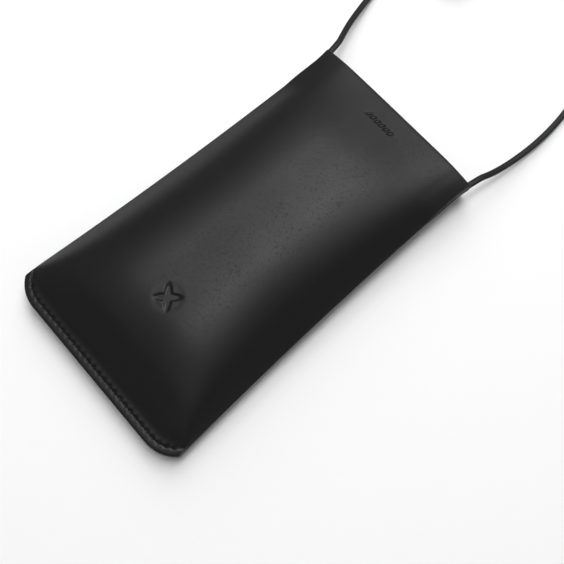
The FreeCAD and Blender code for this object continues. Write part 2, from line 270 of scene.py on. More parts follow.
def roundedLoop(width, height, corner, distance):
    # the point and the outward direction at a distance along a rounded rectangle, from its top middle
    half, side, bottom = width / 2 - corner, height - 2 * corner, width - 2 * corner
    straights = [half, side, bottom, side, half]
    bend = corner * math.pi / 2
    place = Vector((0, 0, height / 2))
    heading = 0.0
    for number, straight in enumerate(straights):
        step = min(distance, straight)
        place += Vector((math.cos(heading), 0, -math.sin(heading))) * step
        distance -= step
        if distance <= 0 or number == len(straights) - 1:
            break
        turned = min(distance, bend) / corner
        centre = place - Vector((math.sin(heading), 0, math.cos(heading))) * corner
        heading += turned
        place = centre + Vector((math.sin(heading), 0, math.cos(heading))) * corner
        distance -= min(distance, bend)
        if distance <= 0:
            break
    return place, Vector((math.sin(heading), 0, math.cos(heading)))


def modelTie():
    low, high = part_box("strap_coil")
    middle = (low + high) / 2
    thick = tie["thickness"]
    bundleWide, bundleHigh = 2 * strap["pitch"], high.z - low.z
    bundle = (high.x - low.x) / 2 - strap["pitch"]
    loop = 2 * (bundleWide + bundleHigh) - (8 - 2 * math.pi) * tie["corner"]
    clearSelection()
    bpy.ops.mesh.primitive_grid_add(x_subdivisions=tie["columns"], y_subdivisions=tie["rows"], size=1)
    band = nameIt("strapTie")
    shift = loop * tie["start"]
    for vertex in band.data.vertices:
        across, share = vertex.co.x, vertex.co.y + 0.5
        distance = share * (loop + tie["lap"])
        place, out = roundedLoop(bundleWide, bundleHigh, tie["corner"], (distance + shift) % loop)
        lift = thick * tie["lapLift"] * smooth((distance - loop + tie["lapRise"]) / tie["lapRise"])
        narrow = 1.0
        if distance > loop:                         # the lapped end is cut to a round tongue
            tip = ((distance - loop) / tie["lap"] - tie["tipStart"]) / (1 - tie["tipStart"])
            narrow = math.sqrt(max(tie["tipLeast"], 1 - max(0.0, tip) ** 2))
        place = place + out * lift
        vertex.co = (place.x, across * tie["width"] * narrow, place.z)
    shell = band.modifiers.new("leather", "SOLIDIFY")
    shell.thickness = thick
    shell.offset = 1
    soften = band.modifiers.new("softEdges", "BEVEL")
    soften.width = tie["bevel"]
    soften.segments = 2
    soften.limit_method = "ANGLE"
    soften.angle_limit = math.radians(50)
    makeActive(band)
    turnOutward()
    for modifier in ("leather", "softEdges"):
        bpy.ops.object.modifier_apply(modifier=modifier)
    turn = Matrix.Rotation(math.radians(tie["angle"]), 4, "Z")
    along = turn @ Vector((bundle, 0, 0))
    band.data.transform(Matrix.Translation(middle + along) @ turn)
    turnOutward()
    bpy.ops.object.shade_smooth_by_angle(angle=math.radians(40))
    return band


strapTie = modelTie()
print("tie modelled")

# sleeve: the shape that both leather panels share
frontLow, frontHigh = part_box("front_panel")
sleeve = {
    "leather": 0.0018,
    "hemDepth": 0.0075,      # bottom edge beyond the line between its corners
    "hemRound": 0.0206,      # radius of the bottom edge's rounded ends
    "hemFlat": 0.0058,       # flat width of the hem before the body rises
    "mouthHalf": 0.0523,
    "mouthLift": 0.0036,     # how much higher the seam plane is at the mouth
    "flarePower": 2.1,
    "lipFlare": 0.0010,      # the corners of the mouth turn out round the lace
    "lipFlareRun": 0.012,
    "shoulderSoft": 0.0050,
    "flatShare": 0.28,       # flat share of the front's half width, before it slopes down
    "flankPower": 2.0,
    "fullRise": 0.010,       # wall height from which the shoulders are fully round
    "foldPower": 8,          # how soon the outline leaves the fold
    "hemSag": 0.0008,        # the soft hem hangs down towards its edge
    "sagRun": 0.010,
    "hemFollow": 0.042,      # rows this near the bottom edge follow its round ends
    "hemTurnIn": 0.06,       # share of the turned-in edge that is left at the hem
    "turnInRun": 0.016,
    "least": 0.00002,        # height of a hollow where it closes
    "allowance": 0.0065,     # turned-in edge inside each side seam
    "foldRound": 0.00055,
    "edgeRound": 0.00062,    # rounding of the burnished cut edges
    "backRun": 0.0070,
    "baseStart": 0.034,
}
lipY = frontHigh.y
edgeY = -lipY
seamHalf = frontHigh.x
foldHeight = frontLow.z
cornerY = edgeY + sleeve["hemDepth"]
straightHalf = seamHalf - math.sqrt(
    sleeve["hemRound"] ** 2 - (sleeve["hemRound"] - sleeve["hemDepth"]) ** 2
)
frontStations = [
    # share of the way up, wall lean, wall height, crown of the middle
    (0.000, 0.0005, 0.0018, 0.00005),
    (0.045, 0.0044, 0.0049, 0.0010),
    (0.110, 0.0080, 0.0084, 0.0030),
    (0.210, 0.0106, 0.0106, 0.0050),
    (0.370, 0.0114, 0.0108, 0.0058),
    (0.570, 0.0110, 0.0104, 0.0056),
    (0.780, 0.0108, 0.0088, 0.0038),
    (0.920, 0.0112, 0.0063, 0.0016),
    (1.000, 0.0118, 0.0051, 0.0004),
]


def halfWidth(y):
    towardsSeam = min(1.0, max(0.0, (lipY - y) / (lipY - cornerY)))
    mouth = sleeve["mouthHalf"]
    turnedOut = sleeve["lipFlare"] * max(0.0, 1 - (lipY - y) / sleeve["lipFlareRun"]) ** 2
    return mouth + turnedOut + (seamHalf - mouth) * towardsSeam ** sleeve["flarePower"]


def hemSag(distance):
    # how far the hem hangs down at a distance from its cut edge
    return sleeve["hemSag"] * max(0.0, 1 - distance / sleeve["sagRun"]) ** 2


def foldAt(y):
    return foldHeight + sleeve["mouthLift"] * max(0.0, y - cornerY) / (lipY - cornerY)


def hemDrop(x):
    # how far the bottom edge curves up from its straight middle
    out = max(0.0, abs(x) - straightHalf)
    return sleeve["hemRound"] - math.sqrt(max(0.0, sleeve["hemRound"] ** 2 - out ** 2))


def stationAt(share):
    # wall lean, wall height and crown between the stations, on a smooth curve through them
    last = len(frontStations) - 2
    number = next((n for n in range(last) if share <= frontStations[n + 1][0]), last)
    rows = [frontStations[min(max(n, 0), last + 1)] for n in range(number - 1, number + 3)]
    if number == 0:                     # the body rises from the hem without a crease
        rows[0] = (-rows[2][0], *rows[2][1:])
    start, end = rows[1][0], rows[2][0]
    part = min(1.0, max(0.0, (share - start) / (end - start)))
    values = []
    for item in (1, 2, 3):
        slopes = []
        for before, after in ((rows[0], rows[2]), (rows[1], rows[3])):
            slopes.append((after[item] - before[item]) / max(1e-6, after[0] - before[0]) * (end - start))
        a, b = rows[1][item], rows[2][item]
        cube, square = part ** 3, part ** 2
        values.append(
            a * (2 * cube - 3 * square + 1) + slopes[0] * (cube - 2 * square + part)
            + b * (3 * square - 2 * cube) + slopes[1] * (cube - square)
        )
    return values


def frontSection(share, y):
    return stationAt(share)


def backSection(share, y):
    leather = sleeve["leather"]
    along = min(1.0, share * (lipY - cornerY) / sleeve["baseStart"])
    depth = leather + (foldAt(y) - leather) * (1 - (1 - along) ** 2)
    return max(0.0005, sleeve["backRun"] * (depth - leather) / depth), depth, 0.0


def profileHeight(x, half, run, rise, crown):
    # a leaning wall, a soft shoulder, and a flank that slopes up to a flat middle
    blend = sleeve["shoulderSoft"] * min(1.0, rise / sleeve["fullRise"])
    flat = sleeve["flatShare"]

    def rawHeight(place):
        flank = max(0.0, (place / (half - run) - flat) / (1 - flat)) ** sleeve["flankPower"]
        top = rise + crown * (1 - flank)
        wall = rise * (half - place) / run
        return (top + wall - math.sqrt((top - wall) ** 2 + blend ** 2)) / 2

    place = abs(x)
    return rawHeight(place) - rawHeight(half) * (place / half) ** sleeve["foldPower"]


# generic debossed marks on the front: a four-petal rosette, and a row of short dashes
emblem = {
    "centre": (0.0012, -0.0505),
    "reach": 0.012,          # nothing is pressed further from the centre
    "petal": 0.0066,
    "petalHalf": 0.0019,
    "depth": 0.00055,
    "soft": 0.00045,
    "dish": 0.00015,         # the leather round the mark is pressed down a little too
    "dishHalf": 0.0072,
    "dishSoft": 0.0016,
}
dashes = {
    "centre": (-0.0012, 0.0888),
    "reach": (0.014, 0.004),
    "count": 6,
    "pitch": 0.0031,
    "long": 0.0018,
    "line": 0.00042,
    "lean": 0.45,
    "depth": 0.00045,
    "soft": 0.00025,
}


def pressed(distance, soft):
    return 1 - smooth(0.5 + distance / (2 * soft))


def markDepth(x, y):
    depth = 0.0
    dx, dy = x - emblem["centre"][0], y - emblem["centre"][1]
    if max(abs(dx), abs(dy)) < emblem["reach"]:
        for first, second in ((dx + dy, dx - dy), (dx - dy, dx + dy)):
            along, across = first / math.sqrt(2), second / math.sqrt(2)
            petal = math.hypot(along / emblem["petal"], across / emblem["petalHalf"]) - 1
            depth = max(depth, emblem["depth"] * pressed(petal * emblem["petalHalf"], emblem["soft"]))
        depth += emblem["dish"] * pressed(math.hypot(dx, dy) - emblem["dishHalf"], emblem["dishSoft"])
    dx, dy = x - dashes["centre"][0], y - dashes["centre"][1]
    if abs(dx) < dashes["reach"][0] and abs(dy) < dashes["reach"][1]:
        span = (dashes["count"] - 1) * dashes["pitch"] / 2
        nearest = min(max(round((dx + span) / dashes["pitch"]), 0), dashes["count"] - 1)
        beside = abs(dx - dashes["lean"] * dy - (nearest * dashes["pitch"] - span))
        away = math.hypot(max(0.0, beside - dashes["long"] / 4), max(0.0, abs(dy) - dashes["long"] / 2))
        depth = max(depth, dashes["depth"] * pressed(away - dashes["line"], dashes["soft"]))
    return depth


# panels
stitchRow = {
    "inset": 0.0040,
    "pitch": 0.0040,
    "valley": 0.00010,
    "pucker": 0.00080,
    "wide": 0.0008,
    "reach": 2.5,            # in widths: nothing is drawn down further from the row
}
laceBed = {"lift": 0.00115, "hold": 0.022, "ease": 0.010, "wide": 0.0037, "blend": 0.0026, "over": 0.013}


def spread(stretches):
    # places along a line, from stretches given as (end, step)
    places = [0.0]
    for end, step in stretches:
        count = max(1, round((end - places[-1]) / step))
        start = places[-1]
        places += [start + (end - start) * (number + 1) / count for number in range(count)]
    return places


def rowPlaces(marked):
    # distances of the cross rows from the bottom edge, closer together where there is detail
    rounding = [0.0, 0.00008, 0.00025, 0.00062]
    start = rounding[-1]
    length = lipY - edgeY
    fine = 0.00042 if marked else 0.0018
    stretches = [
        (0.0026 - start, 0.0008),
        (0.0054 - start, 0.00035),
        (0.0120 - start, 0.0011),
        (0.0430 - start, 0.0018),
        (0.0588 - start, fine),
        (0.1868 - start, 0.0020),
        (0.1930 - start, fine),
        (length - 2 * start, 0.0018),
    ]
    middle = [start + place for place in spread(stretches)]
    return rounding[:-1] + middle + [length - place for place in rounding[:-1][::-1]]


def columnPlaces(marked):
    # shares of the half width, from the middle to just before the fold
    fine = 0.00045 if marked else 0.0011
    stretches = [(0.0084, fine), (0.0520, 0.00062), (seamHalf * 0.992, 0.0006)]
    return [place / seamHalf for place in spread(stretches)]


foldSteps = 5
flangeShares = [0.12, 0.35, 0.6, 0.8, 1.0]


def hemArc(x):
    # distance along the stitch row from its middle to the place beside x
    bend = sleeve["hemRound"] - stitchRow["inset"]
    out = min(1.0, max(0.0, abs(x) - straightHalf) / bend)
    return min(abs(x), straightHalf) + bend * math.asin(out)


def edgeDistance(x, y):
    # distance of a place from the bottom cut edge
    out = abs(x) - straightHalf
    if out <= 0:
        return y - edgeY
    return sleeve["hemRound"] - math.hypot(out, min(0.0, y - edgeY - sleeve["hemRound"]))


def sewnValley(x, y):
    # the leather is drawn down along the stitches, and a little more at each hole
    away = (edgeDistance(x, y) - stitchRow["inset"]) / stitchRow["wide"]
    if abs(away) > stitchRow["reach"]:
        return 0.0
    holes = (0.5 + 0.5 * math.cos(2 * math.pi * hemArc(x) / stitchRow["pitch"])) ** 3
    return (stitchRow["valley"] + stitchRow["pucker"] * holes) * math.exp(-away * away)


waves = {
    "height": 0.00016,
    "each": [(71, 43, 0.6, 1.0), (-37, 88, 2.1, 1.0), (131, 19, 0.0, 0.6)],   # along x, along y, start, share
    "calmHem": 0.02,         # they die out this near the hem
    "calmFold": 0.01,
}


def softWaves(x, y):
    # slow unevenness of hand-formed leather
    total = 0.0
    for alongX, alongY, start, share in waves["each"]:
        total += share * math.sin(x * alongX + y * alongY + start)
    return waves["height"] * total


def sectionPoint(share, side, distance, sectionOf, up, inside):
    # one point of a panel's outer face, or of its inner face
    leather = sleeve["leather"]
    length = lipY - edgeY
    follow = 1 - smooth(distance / sleeve["hemFollow"])
    sideY = edgeY + distance + sleeve["hemDepth"] * follow
    half = halfWidth(sideY)
    base = foldAt(sideY) - hemSag(distance)
    bodyShare = max(0.0, distance - sleeve["hemFlat"]) / (length - sleeve["hemFlat"])
    run, rise, crown = sectionOf(bodyShare, sideY)
    grown = mix(sleeve["hemTurnIn"], 1.0, smooth((distance - sleeve["hemFlat"]) / sleeve["turnInRun"]))
    slant = math.hypot(run, rise)
    lean = math.atan2(rise, run)
    rounding = sleeve["foldRound"]
    tangent = rounding / math.tan(lean / 2)
    corner = half + tangent - rounding
    flange = leather * grown
    bed = laceBed["lift"] * smooth((sideY - lipY + laceBed["hold"] + laceBed["ease"]) / laceBed["ease"])
    inset = min((run * flange + leather * slant) / rise, corner * 0.5)
    kind, value = share
    if kind == "face":
        wallTop = corner - tangent + rounding * math.sin(lean)
        if not inside:
            x = value / columnShares[-1] * wallTop
            height = profileHeight(x, corner, run, rise, crown)
            bedShare = 1 - smooth((corner - x) / laceBed["over"])
        else:
            x = value / columnShares[-1] * (corner - inset)
            hollow = max(sleeve["least"], rise - leather - flange)
            hollowRun = max(sleeve["least"] / 2, run * hollow / rise)
            height = flange + profileHeight(x, corner - inset, hollowRun, hollow, crown)
            bedShare = 1 - smooth((corner - x - laceBed["wide"]) / laceBed["over"])
    elif kind == "fold":
        if not inside:
            angle = mix(math.pi / 2 - lean, -math.pi / 2, value)
            x = corner - tangent + rounding * math.cos(angle)
            height = rounding + rounding * math.sin(angle)
            bedShare = 1.0
        else:
            x, height, bedShare = corner - inset - 0.00006 * value, flange, 1.0
    else:
        widest = sleeve["allowance"] * grown
        if not inside:
            x = corner - mix(tangent, max(widest, tangent + 0.0002), value)
            height = 0.0
        else:
            x = corner - mix(inset + 0.00008, max(widest, inset + 0.0003), value)
            height = flange
        bedShare = 1 - smooth((corner - x - laceBed["wide"]) / laceBed["blend"])
    height += bed * bedShare
    x *= side
    y = edgeY + distance + hemDrop(x * seamHalf / half) * follow
    if kind == "face" and not inside:
        height -= sewnValley(x, y)
        calm = smooth(distance / waves["calmHem"]) * smooth((corner - abs(x)) / waves["calmFold"])
        if up > 0:
            height += softWaves(x, y) * calm - markDepth(x, y)
    return Vector((x, y, base + up * height))


columnShares = []
wear = {"edge": 0.0016, "fold": 0.0022, "foldShare": 0.8}


def leatherPanel(name, sectionOf, up, marked):
    columnShares[:] = columnPlaces(marked)
    rows = rowPlaces(marked)
    shares = [("face", place) for place in columnShares]
    shares += [("fold", (step + 1) / foldSteps) for step in range(foldSteps)]
    shares += [("flange", value) for value in flangeShares]
    columns = [(share, -1) for share in shares[:0:-1]] + [(share, 1) for share in shares]
    clearSelection()
    bpy.ops.mesh.primitive_grid_add(
        x_subdivisions=len(columns) - 1, y_subdivisions=len(rows) - 1, size=1, location=(0, 0, foldHeight)
    )
    panel = nameIt(name)
    panel.data.transform(panel.matrix_world)
    panel.matrix_world = Matrix.Identity(4)
    shell = panel.modifiers.new("leather", "SOLIDIFY")
    shell.thickness = sleeve["leather"]
    shell.offset = -1
    shell.material_offset = 1            # flesh side
    shell.material_offset_rim = 2        # cut edges
    for slot in range(3):
        panel.data.materials.append(None)
    makeActive(panel)
    bpy.ops.object.modifier_apply(modifier="leather")
    mesh = panel.data
    outer = len(mesh.vertices) // 2
    rub = mesh.attributes.new("rub", "FLOAT", "POINT")
    length = rows[-1]
    for number in range(outer):
        place = mesh.vertices[number].co
        column = columns[round((place.x + 0.5) * (len(columns) - 1))]
        distance = rows[round((place.y + 0.5) * (len(rows) - 1))]
        share, side = column
        face = sectionPoint(share, side, distance, sectionOf, up, False)
        lining = sectionPoint(share, side, distance, sectionOf, up, True)
        fromEnd = min(distance, length - distance)
        radius = sleeve["edgeRound"]
        drawn = 0.0
        if fromEnd < radius:
            drawn = (radius - math.sqrt(radius ** 2 - (radius - fromEnd) ** 2)) / sleeve["leather"]
        mesh.vertices[number].co = face.lerp(lining, drawn)
        mesh.vertices[number + outer].co = lining.lerp(face, drawn)
        beside = 0.0 if share[0] != "face" else (1 - share[1] / columnShares[-1]) * seamHalf
        atEdge = math.exp(-fromEnd / wear["edge"])
        rub.data[number].value = max(atEdge, wear["foldShare"] * math.exp(-beside / wear["fold"]))
        rub.data[number + outer].value = atEdge
    if up < 0:
        bpy.ops.object.mode_set(mode="EDIT")
        bpy.ops.mesh.select_all(action="SELECT")
        bpy.ops.mesh.flip_normals()
        bpy.ops.object.mode_set(mode="OBJECT")
    bpy.ops.object.shade_smooth_by_angle(angle=math.radians(42))
    print(name, "modelled:", len(mesh.polygons), "faces")
    return panel


frontPanel = leatherPanel("frontPanel", frontSection, 1, True)
backPanel = leatherPanel("backPanel", backSection, -1, False)

# stitches: one rounded stitch, copied along each seam
stitch = {
    "gap": 0.0005,
    "width": 0.0008,
    "rise": 0.00030,
    "dive": 0.0013,          # how deep its ends go into the holes
    "divePower": 3.2,
    "thin": 0.28,            # how much thinner its ends are
    "thinPower": 3,
    "slant": 7.0,
    "cuts": 6,
}
sideRow = {"inset": 0.003, "margin": 0.008}


def modelStitch():
    length = stitchRow["pitch"] - stitch["gap"]
    clearSelection()
    bpy.ops.mesh.primitive_cylinder_add(
        vertices=8,
        radius=stitch["width"] / 2,
        depth=length,
        end_fill_type="TRIFAN",
        rotation=(0, math.pi / 2, 0),
    )
    master = nameIt("stitch")
    master.data.transform(master.matrix_world)
    master.matrix_world = Matrix.Identity(4)
    bpy.ops.object.mode_set(mode="EDIT")
    bpy.ops.mesh.select_mode(type="EDGE")
    bpy.ops.mesh.select_all(action="DESELECT")
    bpy.ops.object.mode_set(mode="OBJECT")
    corners = master.data.vertices
    for edge in master.data.edges:
        first, second = (corners[index].co for index in edge.vertices)
        edge.select = abs(first.x - second.x) > length * 0.9
    bpy.ops.object.mode_set(mode="EDIT")
    bpy.ops.mesh.subdivide(number_cuts=stitch["cuts"])
    bpy.ops.object.mode_set(mode="OBJECT")
    places = sorted({round(vertex.co.x, 7) for vertex in corners})
    for place in places:                            # each ring is sunk and thinned towards the holes
        share = abs(place) / (length / 2)
        bpy.ops.object.mode_set(mode="EDIT")
        bpy.ops.mesh.select_mode(type="VERT")
        bpy.ops.mesh.select_all(action="DESELECT")
        bpy.ops.object.mode_set(mode="OBJECT")
        for vertex in master.data.vertices:
            vertex.select = abs(vertex.co.x - place) < 1e-6
        bpy.ops.object.mode_set(mode="EDIT")
        thin = 1 - stitch["thin"] * share ** stitch["thinPower"]
        bpy.ops.transform.resize(value=(1, thin, thin))
        bpy.ops.transform.translate(value=(0, 0, -stitch["dive"] * share ** stitch["divePower"]))
        bpy.ops.object.mode_set(mode="OBJECT")
    return master


def sewRow(name, master, holes, slope, surfaceOf):
    copies = []
    for start, end in zip(holes, holes[1:]):
        heading = end - start
        for up in (1, -1):
            middle = (start + end) / 2
            middle.z = surfaceOf(middle, up)
            turn = math.atan2(heading.y, heading.x) + math.radians(stitch["slant"]) * up
            turned = Matrix.Rotation(turn, 4, "Z") @ Matrix.Rotation(-slope, 4, "Y")
            placing = Matrix.Translation(middle) @ turned
            if up < 0:
                placing = placing @ Matrix.Rotation(math.pi, 4, "X")
            copy = bpy.data.objects.new(name, master.data.copy())
            copy.data.transform(placing)
            bpy.context.scene.collection.objects.link(copy)
            copies.append(copy)
    makeActive(copies[0])
    for copy in copies:
        copy.select_set(True)
    bpy.ops.object.join()
    row = nameIt(name)
    bpy.ops.object.shade_smooth_by_angle(angle=math.radians(50))
    return row


def bottomHoles():
    bend = sleeve["hemRound"] - stitchRow["inset"]
    turned = math.atan2(seamHalf - straightHalf, sleeve["hemRound"] - sleeve["hemDepth"])
    reach = straightHalf + bend * turned - stitch["width"]
    count = int(reach / stitchRow["pitch"])
    holes = []
    for number in range(-count, count + 1):
        along = abs(number) * stitchRow["pitch"]
        x, y = along, edgeY + stitchRow["inset"]
        if along > straightHalf:
            angle = (along - straightHalf) / bend
            x = straightHalf + bend * math.sin(angle)
            y = edgeY + sleeve["hemRound"] - bend * math.cos(angle)
        holes.append(Vector((math.copysign(x, number), y, foldHeight)))
    return holes


def sideHoles(side):
    first, last = cornerY + sideRow["margin"], lipY - sideRow["margin"]
    holes = []
    for number in range(int((last - first) / stitchRow["pitch"]) + 1):
        y = first + number * stitchRow["pitch"]
        holes.append(Vector((side * (halfWidth(y) - sideRow["inset"]), y, foldAt(y))))
    return holes


def onHem(place, up):
    lift = sleeve["leather"] + stitch["rise"] - stitch["width"] / 2 - stitchRow["valley"] * 0.4
    return foldHeight - hemSag(stitchRow["inset"]) + up * lift


def onFlange(place, up):
    return foldAt(place.y) + up * (sleeve["leather"] + stitch["rise"] - stitch["width"] / 2)


stitchMaster = modelStitch()
seamSlope = math.atan2(sleeve["mouthLift"], lipY - cornerY)
bottomStitches = sewRow("bottomStitches", stitchMaster, bottomHoles(), 0.0, onHem)
leftStitches = sewRow("leftStitches", stitchMaster, sideHoles(-1), seamSlope, onFlange)
rightStitches = sewRow("rightStitches", stitchMaster, sideHoles(1), seamSlope, onFlange)
bpy.data.objects.remove(stitchMaster)
print("stitches sewn")


# shared effects, as node groups
def newGroup(name, inputs, outputs):
    group = bpy.data.node_groups.new(name, "ShaderNodeTree")
    for label, kind, default in inputs:
        socket = group.interface.new_socket(label, in_out="INPUT", socket_type=kind)
        if default is not None:
            socket.default_value = default
    for label, kind in outputs:
        group.interface.new_socket(label, in_out="OUTPUT", socket_type=kind)
    return group, group.nodes.new("NodeGroupInput"), group.nodes.new("NodeGroupOutput")


def addNode(tree, kind, settings=(), values=(), links=()):
    # a node with its settings, its unlinked values by socket, and the sockets that feed it
    node = tree.nodes.new(kind)
    for key, value in dict(settings).items():
        setattr(node, key, value)
    for key, value in dict(values).items():
        node.inputs[key].default_value = value
    for key, source in dict(links).items():
        tree.links.new(source, node.inputs[key])
    return node


def addMath(tree, operation, first, second, clamp=False):
    node = addNode(tree, "ShaderNodeMath", {"operation": operation, "use_clamp": clamp})
    for index, value in enumerate((first, second)):
        if isinstance(value, (int, float)):
            node.inputs[index].default_value = value
        else:
            tree.links.new(value, node.inputs[index])
    return node.outputs[0]


def addRamp(tree, source, stops):
    ramp = addNode(tree, "ShaderNodeValToRGB", links={0: source})
    elements = ramp.color_ramp.elements
    while len(elements) < len(stops):
        elements.new(0.5)
    for element, (place, value) in zip(elements, stops):
        element.position = place
        element.color = (value, value, value, 1) if isinstance(value, (int, float)) else (*value, 1)
    return ramp.outputs[0]


def addNoise(tree, place, scale, detail):
    values = {"Scale": scale, "Detail": detail}
    return addNode(tree, "ShaderNodeTexNoise", values=values, links={"Vector": place})


placeIn = ("Vector", "NodeSocketVector", None)


def grainGroup():
    # full-grain leather: small rounded cells, pores between them and long fine creases
    group, given, result = newGroup(
        "leatherGrain",
        [placeIn, ("Cells", "NodeSocketFloat", 900.0), ("Crease", "NodeSocketFloat", 0.35)],
        [("Height", "NodeSocketFloat"), ("Pores", "NodeSocketFloat")],
    )
    warp = addNoise(group, given.outputs[0], 260.0, 2.0)
    bent = addNode(
        group, "ShaderNodeVectorMath", {"operation": "MULTIPLY_ADD"}, {1: (0.0011, 0.0011, 0.0011)},
        {0: warp.outputs["Color"], 2: given.outputs[0]},
    )
    cells = addNode(
        group, "ShaderNodeTexVoronoi", {"feature": "SMOOTH_F1"}, {"Smoothness": 0.45},
        {"Vector": bent.outputs[0], "Scale": given.outputs[1]},
    )
    fine = addNoise(group, given.outputs[0], 2600.0, 2.0)
    folds = addNode(
        group, "ShaderNodeTexNoise", {"noise_type": "RIDGED_MULTIFRACTAL"}, {"Scale": 120.0, "Detail": 3.0},
        {"Vector": bent.outputs[0]},
    )
    domes = addMath(group, "SUBTRACT", 1.0, cells.outputs["Distance"])
    withFine = addMath(group, "MULTIPLY_ADD", fine.outputs["Fac"], 0.35)
    group.links.new(domes, withFine.node.inputs[2])
    creased = addMath(group, "MULTIPLY", folds.outputs["Fac"], given.outputs[2])
    height = addMath(group, "SUBTRACT", withFine, creased)
    group.links.new(height, result.inputs[0])
    group.links.new(addRamp(group, cells.outputs["Distance"], [(0.55, 0.0), (0.85, 1.0)]), result.inputs[1])
    return group


def handlingGroup():
    # where hands have been: broad dull and shiny patches, and fine scuffs
    group, given, result = newGroup(
        "handling",
        [placeIn, ("Patch", "NodeSocketFloat", 22.0), ("Scuffs", "NodeSocketFloat", 0.3)],
        [("Gloss", "NodeSocketFloat"), ("Scuff", "NodeSocketFloat")],
    )
    patches = addNode(
        group, "ShaderNodeTexNoise", values={"Detail": 3.0, "Roughness": 0.55},
        links={"Vector": given.outputs[0], "Scale": given.outputs[1]},
    )
    stretched = addNode(
        group, "ShaderNodeMapping", values={"Rotation": (0.0, 0.0, 0.6), "Scale": (1.0, 7.0, 1.0)},
        links={"Vector": given.outputs[0]},
    )
    streaks = addNoise(group, stretched.outputs[0], 160.0, 4.0)
    marks = addRamp(group, streaks.outputs["Fac"], [(0.62, 0.0), (0.74, 1.0)])
    group.links.new(addRamp(group, patches.outputs["Fac"], [(0.3, 0.0), (0.7, 1.0)]), result.inputs[0])
    group.links.new(addMath(group, "MULTIPLY", marks, given.outputs[2], True), result.inputs[1])
    return group


def edgeWearGroup():
    # rubbed edges, broken up so that the wear isn't an even band
    group, given, result = newGroup(
        "edgeWear",
        [placeIn, ("Rub", "NodeSocketFloat", 0.0), ("Amount", "NodeSocketFloat", 0.6)],
        [("Mask", "NodeSocketFloat")],
    )
    chips = addNoise(group, given.outputs[0], 420.0, 4.0)
    broken = addRamp(group, chips.outputs["Fac"], [(0.35, 0.25), (0.65, 1.0)])
    rubbed = addMath(group, "MULTIPLY", broken, given.outputs[1])
    group.links.new(addMath(group, "MULTIPLY", rubbed, given.outputs[2], True), result.inputs[0])
    return group


leatherGrain = grainGroup()
handling = handlingGroup()
edgeWear = edgeWearGroup()


def placeGroup(tree, group, values, links):
    return addNode(tree, "ShaderNodeGroup", {"node_tree": group}, values, links)


def newMaterial(name, roughness, specular):
    material = bpy.data.materials.new(name)
    material.use_nodes = True
    shader = material.node_tree.nodes["Principled BSDF"]
    shader.inputs["Roughness"].default_value = roughness
    shader.inputs["Specular IOR Level"].default_value = specular
    return material, material.node_tree, shader


def blendColours(tree, share, first, second):
    ends = {6: (*first, 1), 7: (*second, 1)}
    return addNode(tree, "ShaderNodeMix", {"data_type": "RGBA"}, ends, {0: share}).outputs[2]


def leatherMaterial(name, look):
    material, tree, shader = newMaterial(name, look["roughness"], look["specular"])
    place = addNode(tree, "ShaderNodeTexCoord").outputs["Object"]
    at = {"Vector": place}
    grain = placeGroup(tree, leatherGrain, {"Cells": look["cells"], "Crease": look["crease"]}, at)
    hands = placeGroup(tree, handling, {"Patch": look["patch"], "Scuffs": look["scuffs"]}, at)
    rub = addNode(tree, "ShaderNodeAttribute", {"attribute_name": "rub"}).outputs["Fac"]
    worn = placeGroup(tree, edgeWear, {"Amount": look["wear"]}, {"Vector": place, "Rub": rub}).outputs[0]
    deep = blendColours(tree, hands.outputs["Gloss"], look["dark"], look["light"])
    shown = addNode(
        tree, "ShaderNodeMix", {"data_type": "RGBA"}, {7: (*look["rubbed"], 1)}, {0: worn, 6: deep}
    ).outputs[2]
    tree.links.new(shown, shader.inputs["Base Color"])
    low, high = look["roughness"] - look["glossSpread"], look["roughness"] + look["glossSpread"]
    rough = addRamp(tree, hands.outputs["Gloss"], [(0.0, high), (1.0, low)])
    scuffed = addMath(tree, "MULTIPLY_ADD", hands.outputs["Scuff"], 0.12)
    tree.links.new(rough, scuffed.node.inputs[2])
    porous = addMath(tree, "MULTIPLY_ADD", grain.outputs["Pores"], 0.08)
    tree.links.new(scuffed, porous.node.inputs[2])
    tree.links.new(porous, shader.inputs["Roughness"])
    bump = addNode(
        tree, "ShaderNodeBump", values={"Strength": look["bump"], "Distance": look["relief"]},
        links={"Height": grain.outputs["Height"]},
    )
    tree.links.new(bump.outputs[0], shader.inputs["Normal"])
    return material


smoothBlack = {
    "dark": (0.0026, 0.0026, 0.0027),
    "light": (0.0040, 0.0040, 0.0041),
    "rubbed": (0.012, 0.012, 0.0125),
    "roughness": 0.42,
    "glossSpread": 0.03,
    "specular": 0.36,
    "cells": 950.0,
    "crease": 0.25,
    "patch": 24.0,
    "scuffs": 0.25,
    "wear": 0.35,
    "bump": 0.06,
    "relief": 0.00012,
}
fleshBlack = {
    **smoothBlack, "dark": (0.016, 0.0158, 0.0165), "light": (0.028, 0.0275, 0.028), "roughness": 0.82,
    "glossSpread": 0.05, "specular": 0.2, "cells": 1600.0, "crease": 0.9, "bump": 0.5, "relief": 0.0003,
}
edgeBlack = {
    **smoothBlack, "dark": (0.008, 0.008, 0.0085), "light": (0.014, 0.014, 0.015), "roughness": 0.36,
    "cells": 2200.0, "crease": 0.6, "wear": 0.25, "bump": 0.22,
}
laceBlack = {
    **smoothBlack, "cells": 1900.0, "crease": 0.45, "patch": 60.0, "wear": 0.0, "bump": 0.2,
    "roughness": 0.46,
}
tieBlack = {**smoothBlack, "cells": 1500.0, "roughness": 0.5, "wear": 0.0, "bump": 0.2}


